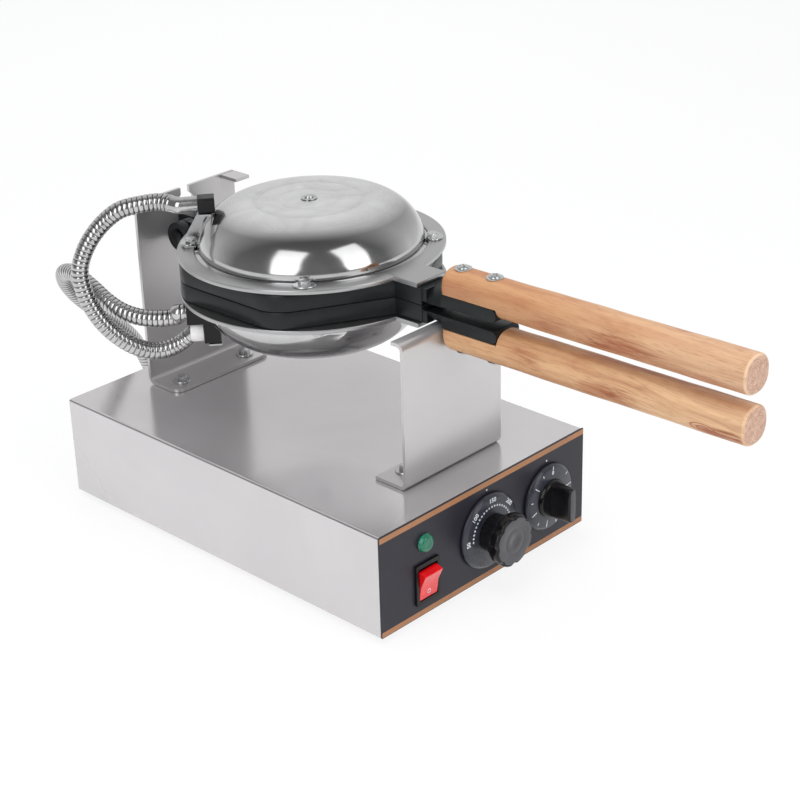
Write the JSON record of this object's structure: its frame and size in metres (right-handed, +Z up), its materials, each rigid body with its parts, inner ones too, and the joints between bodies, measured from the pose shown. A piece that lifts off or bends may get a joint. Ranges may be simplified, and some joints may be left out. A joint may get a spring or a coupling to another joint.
{
  "type": "bubble waffle maker",
  "caption": "Bubble waffle maker: a two-part hexagonal iron in round steel domes, with wooden handles, that opens on a hinge and turns over on a sheet steel base with dials and a rocker switch.",
  "frame": {"origin": "centre of the underside of the base housing; the rubber feet reach 6.5 mm below it", "axes": "+Z up, +X to the right seen from the front, the front panel and the handles towards -Y"},
  "size_m": [0.272, 0.6927, 0.2991],
  "materials": {
    "black_casting": "dark non-stick coat",
    "black_plastic": "matt",
    "charcoal_panel": "fine matt with two copper stripes",
    "conduit_steel": "ribbed, zinc grey",
    "dial_grey": "satin with pale marks",
    "foot_rubber": "matt",
    "handle_wood": "oiled, reddish grain",
    "lens_green": "gloss, translucent look",
    "pressed_steel": "polished",
    "rocker_red": "gloss",
    "sheet_steel": "brushed satin",
    "white_plastic": "matt",
    "zinc_steel": "zinc plated"
  },
  "bodies": {
    "base": {"base_shell": "sheet_steel", "front_panel": "charcoal_panel", "rear_panel": "sheet_steel", "bottom_plate": "sheet_steel", "foot_1": "foot_rubber", "foot_2": "foot_rubber", "foot_3": "foot_rubber", "foot_4": "foot_rubber", "front_support": "sheet_steel", "rear_bracket": "sheet_steel", "front_support_bolt_1": "zinc_steel", "front_support_bolt_2": "zinc_steel", "rear_bracket_bolt_1": "zinc_steel", "rear_bracket_bolt_2": "zinc_steel", "terminal_block": "white_plastic", "mains_gland": "black_plastic", "conduit_gland": "zinc_steel", "indicator_body": "white_plastic", "indicator_lens": "lens_green", "switch_body": "black_plastic", "thermostat_body": "zinc_steel", "timer_body": "zinc_steel", "feed_conduit": "conduit_steel"},
    "lower_iron": {"lower_pan": "black_casting", "lower_ring": "pressed_steel", "lower_dome": "pressed_steel", "lower_dome_screw": "zinc_steel", "lower_element": "zinc_steel", "lower_handle": "handle_wood", "lower_handle_screw_1": "zinc_steel", "lower_handle_screw_2": "zinc_steel", "lower_ring_bolt_1": "zinc_steel", "lower_ring_bolt_2": "zinc_steel", "lower_ring_bolt_3": "zinc_steel", "lower_ring_bolt_4": "zinc_steel", "lower_clamp_strap": "zinc_steel", "lower_clamp_block": "black_plastic", "pivot_yoke": "black_casting", "hinge_pin": "zinc_steel", "axle_nut": "zinc_steel", "jumper_conduit": "conduit_steel"},
    "upper_iron": {"upper_pan": "black_casting", "upper_ring": "pressed_steel", "upper_dome": "pressed_steel", "upper_dome_screw": "zinc_steel", "upper_element": "zinc_steel", "upper_handle": "handle_wood", "upper_handle_screw_1": "zinc_steel", "upper_handle_screw_2": "zinc_steel", "upper_ring_bolt_1": "zinc_steel", "upper_ring_bolt_2": "zinc_steel", "upper_ring_bolt_3": "zinc_steel", "upper_ring_bolt_4": "zinc_steel", "upper_clamp_strap": "zinc_steel", "upper_clamp_block": "black_plastic"},
    "thermostat_control": {"thermostat_dial": "dial_grey", "thermostat_knob": "black_plastic"},
    "timer_control": {"timer_dial": "dial_grey", "timer_knob": "black_plastic"},
    "rocker": {"rocker": "rocker_red"}
  },
  "joints": [
    {"name": "iron_turn", "type": "hinge", "parent": "base", "child": "lower_iron", "pos_m": [0, -0.00002, 0.2302], "axis": [0, 0.9998, -0.0175], "range_deg": [0, 180], "deforming": ["feed_conduit"]},
    {"name": "iron_open", "type": "hinge", "parent": "lower_iron", "child": "upper_iron", "pos_m": [0, 0.13956, 0.22777], "axis": [1, 0, 0], "range_deg": [-90, 0], "deforming": ["jumper_conduit"]},
    {"name": "thermostat_turn", "type": "hinge", "parent": "base", "child": "thermostat_control", "pos_m": [0, -0.191, 0.045], "axis": [0, 1, 0], "range_deg": [0, 270]},
    {"name": "timer_turn", "type": "hinge", "parent": "base", "child": "timer_control", "pos_m": [0.076, -0.191, 0.045], "axis": [0, 1, 0], "range_deg": [0, 300]},
    {"name": "rocker_tilt", "type": "hinge", "parent": "base", "child": "rocker", "pos_m": [-0.073, -0.1885, 0.03], "axis": [1, 0, 0], "range_deg": [-32, 0]}
  ]
}
